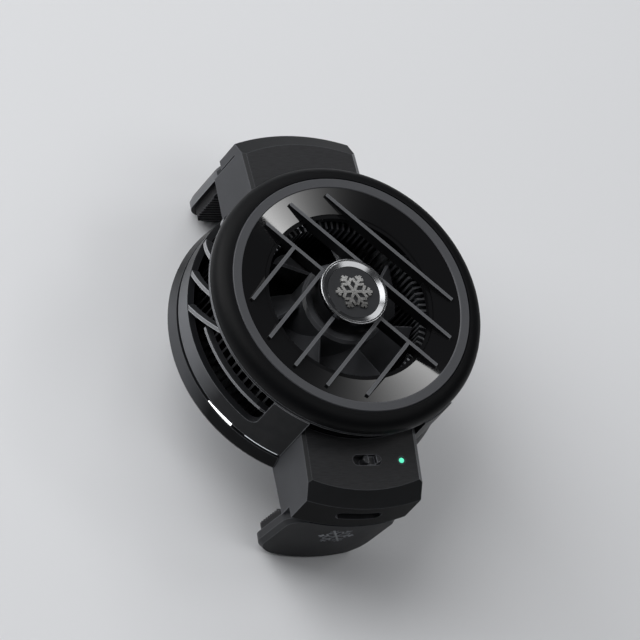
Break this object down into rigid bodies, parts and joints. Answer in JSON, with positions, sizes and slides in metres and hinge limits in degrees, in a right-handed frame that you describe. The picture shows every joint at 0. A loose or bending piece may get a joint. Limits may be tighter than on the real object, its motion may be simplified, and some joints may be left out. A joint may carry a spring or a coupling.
{
  "type": "phone cooling fan",
  "caption": "Clip-on phone cooler: round vented fan body with a slanted grille, a cold plate behind, a fixed arm with switch and power port, and a sprung sliding arm with padded hooks.",
  "frame": {"origin": "middle of the cold plate's flat contact face, on the fan's axis", "axes": "+Z along the fan's axis from the phone to the air intake, +Y toward the sliding arm, +X to the right when looking at the intake with the sliding arm up"},
  "size_m": [0.0616, 0.0846, 0.0434],
  "materials": {
    "shell_black": "fine speckled matte",
    "bezel_black": "satin matte",
    "funnel_gloss": "high gloss",
    "ring_grey": "satin grey",
    "grille_satin": "satin",
    "rim_polished": "polished, smoked",
    "badge_grey": "satin grey",
    "emblem_metal": "fine brushed",
    "pad_rubber": "matte ribbed",
    "seal_silicone": "soft matte",
    "plate_aluminium": "fine turned",
    "sink_aluminium": "dark anodised",
    "fan_plastic": "satin",
    "ceramic_white": "fired matte",
    "leg_metal": "cast",
    "foam_black": "open foam",
    "steel": "rolled",
    "screw_black": "black oxide",
    "brass": "turned",
    "copper": "enamelled wire",
    "magnet_black": "bonded powder",
    "board_green": "solder mask",
    "socket_insulator": "moulded",
    "led_white": "moulded",
    "lens_green": "lit, clear",
    "light_guide": "frosted",
    "lead_insulation": "extruded"
  },
  "bodies": {
    "body": {"vent_housing": "shell_black", "front_bezel": "bezel_black", "face_ring": "ring_grey", "intake_funnel": "funnel_gloss", "intake_grille": "grille_satin", "hub_rim": "rim_polished", "hub_badge": "badge_grey", "hub_emblem": "emblem_metal", "light_ring": "light_guide", "rear_cover": "shell_black", "contact_ring": "seal_silicone", "cold_plate": "plate_aluminium", "cold_ceramic": "ceramic_white", "module_legs": "leg_metal", "hot_ceramic": "ceramic_white", "foam_frame": "foam_black", "heat_sink": "sink_aluminium", "body_screws": "screw_black", "bearing_sleeve": "brass", "motor_board": "board_green", "stator_core": "steel", "stator_coils": "copper", "slide_guides": "socket_insulator", "left_return_spring": "steel", "right_return_spring": "steel", "lower_arm_shell": "shell_black", "lower_arm_lid": "shell_black", "lower_arm_screws": "screw_black", "lower_hook": "shell_black", "lower_grip_pad": "pad_rubber", "control_board": "board_green", "power_socket": "steel", "socket_tongue": "socket_insulator", "switch_body": "socket_insulator", "status_led": "led_white", "status_lens": "lens_green", "module_leads": "lead_insulation", "motor_leads": "lead_insulation"},
    "fan_rotor": {"impeller": "fan_plastic", "rotor_yoke": "steel", "rotor_magnet": "magnet_black", "motor_shaft": "steel"},
    "sliding_arm": {"upper_arm_shell": "shell_black", "upper_arm_lid": "shell_black", "upper_arm_screws": "screw_black", "upper_hook": "shell_black", "upper_grip_pad": "pad_rubber", "slide_yoke": "steel", "yoke_screws": "screw_black"},
    "switch_slider": {"switch_knob": "shell_black"}
  },
  "joints": [
    {"name": "fan_spin", "type": "hinge", "parent": "body", "child": "fan_rotor", "pos_m": [0, 0, 0.0157], "axis": [0, 0, 1], "continuous": true},
    {"name": "arm_slide", "type": "slide", "parent": "body", "child": "sliding_arm", "axis": [0, 1, 0], "range_m": [0, 0.0164], "stiffness_N_per_m": 250, "springref_m": -0.0164, "deforming": ["left_return_spring", "right_return_spring"]},
    {"name": "switch_slide", "type": "slide", "parent": "body", "child": "switch_slider", "axis": [1, 0, 0], "range_m": [-0.002, 0]}
  ]
}
